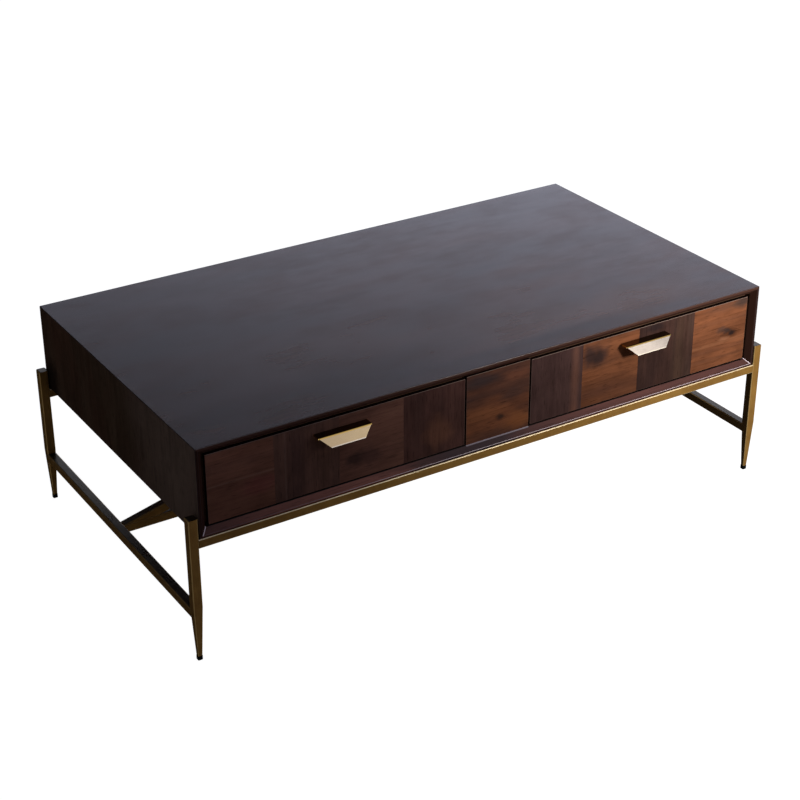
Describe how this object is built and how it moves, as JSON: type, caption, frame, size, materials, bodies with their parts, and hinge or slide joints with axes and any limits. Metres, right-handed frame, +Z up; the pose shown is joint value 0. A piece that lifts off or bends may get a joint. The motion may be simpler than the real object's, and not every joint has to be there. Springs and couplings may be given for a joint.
{
  "type": "coffee table",
  "caption": "Low rectangular coffee table: a mitred dark wood case with drawers faced in mixed wood blocks, on a slim tapered brass tube frame with a central brace.",
  "frame": {"origin": "on the floor, under the middle of the whole table's outline with the drawer pulls included", "axes": "+X along the length to the right as seen from the drawers, +Y from the drawers to the rear, +Z up; the drawers open towards -Y"},
  "size_m": [1.2, 0.6536, 0.395],
  "materials": {
    "case_wood": "very dark brown stain under satin lacquer",
    "front_wood": "blocks of mixed brown tones and grain directions, satin",
    "inner_wood": "plain brown wood and boards, matt",
    "brass_frame": "aged brass, satin",
    "champagne_pull": "pale brushed brass",
    "black_glide": "black moulded plastic",
    "zinc_runner": "zinc-plated pressed steel",
    "zinc_screws": "zinc-plated steel"
  },
  "bodies": {
    "table": {"back_panel": "inner_wood", "bottom_panel": "case_wood", "case_runner_screws": "zinc_screws", "centre_backing": "inner_wood", "centre_block": "front_wood", "centre_plate": "brass_frame", "crossbar": "brass_frame", "front_left_glide": "black_glide", "front_left_leg": "brass_frame", "front_rail": "brass_frame", "front_right_glide": "black_glide", "front_right_leg": "brass_frame", "left_partition": "inner_wood", "left_runner_case_members": "zinc_runner", "left_side_panel": "case_wood", "left_stretcher": "brass_frame", "left_strut": "brass_frame", "mitre_splines": "inner_wood", "plate_screws": "zinc_screws", "rail_screws": "zinc_screws", "rear_left_glide": "black_glide", "rear_left_leg": "brass_frame", "rear_rail": "brass_frame", "rear_right_glide": "black_glide", "rear_right_leg": "brass_frame", "right_partition": "inner_wood", "right_runner_case_members": "zinc_runner", "right_side_panel": "case_wood", "right_stretcher": "brass_frame", "right_strut": "brass_frame", "top_panel": "case_wood"},
    "left_drawer": {"left_drawer_back": "inner_wood", "left_drawer_backing": "inner_wood", "left_drawer_bottom": "inner_wood", "left_drawer_left_side": "inner_wood", "left_drawer_right_side": "inner_wood", "left_drawer_runner_screws": "zinc_screws", "left_front_block_1": "front_wood", "left_front_block_2": "front_wood", "left_front_block_3": "front_wood", "left_front_block_4": "front_wood", "left_pull": "champagne_pull", "left_pull_screws": "zinc_screws", "left_runner_drawer_members": "zinc_runner"},
    "left_runner": {"left_runner_middle_members": "zinc_runner"},
    "right_drawer": {"right_drawer_back": "inner_wood", "right_drawer_backing": "inner_wood", "right_drawer_bottom": "inner_wood", "right_drawer_left_side": "inner_wood", "right_drawer_right_side": "inner_wood", "right_drawer_runner_screws": "zinc_screws", "right_front_block_1": "front_wood", "right_front_block_2": "front_wood", "right_front_block_3": "front_wood", "right_front_block_4": "front_wood", "right_pull": "champagne_pull", "right_pull_screws": "zinc_screws", "right_runner_drawer_members": "zinc_runner"},
    "right_runner": {"right_runner_middle_members": "zinc_runner"}
  },
  "joints": [
    {"name": "left_drawer_slide", "type": "slide", "parent": "table", "child": "left_drawer", "axis": [0, -1, 0], "range_m": [0, 0.45]},
    {"name": "left_runner_slide", "type": "slide", "parent": "table", "child": "left_runner", "axis": [0, -1, 0], "range_m": [0, 0.225]},
    {"name": "right_drawer_slide", "type": "slide", "parent": "table", "child": "right_drawer", "axis": [0, -1, 0], "range_m": [0, 0.45]},
    {"name": "right_runner_slide", "type": "slide", "parent": "table", "child": "right_runner", "axis": [0, -1, 0], "range_m": [0, 0.225]}
  ],
  "couplings": [
    {"joint": "left_runner_slide", "follows": "left_drawer_slide", "ratio": 0.5},
    {"joint": "right_runner_slide", "follows": "right_drawer_slide", "ratio": 0.5}
  ]
}
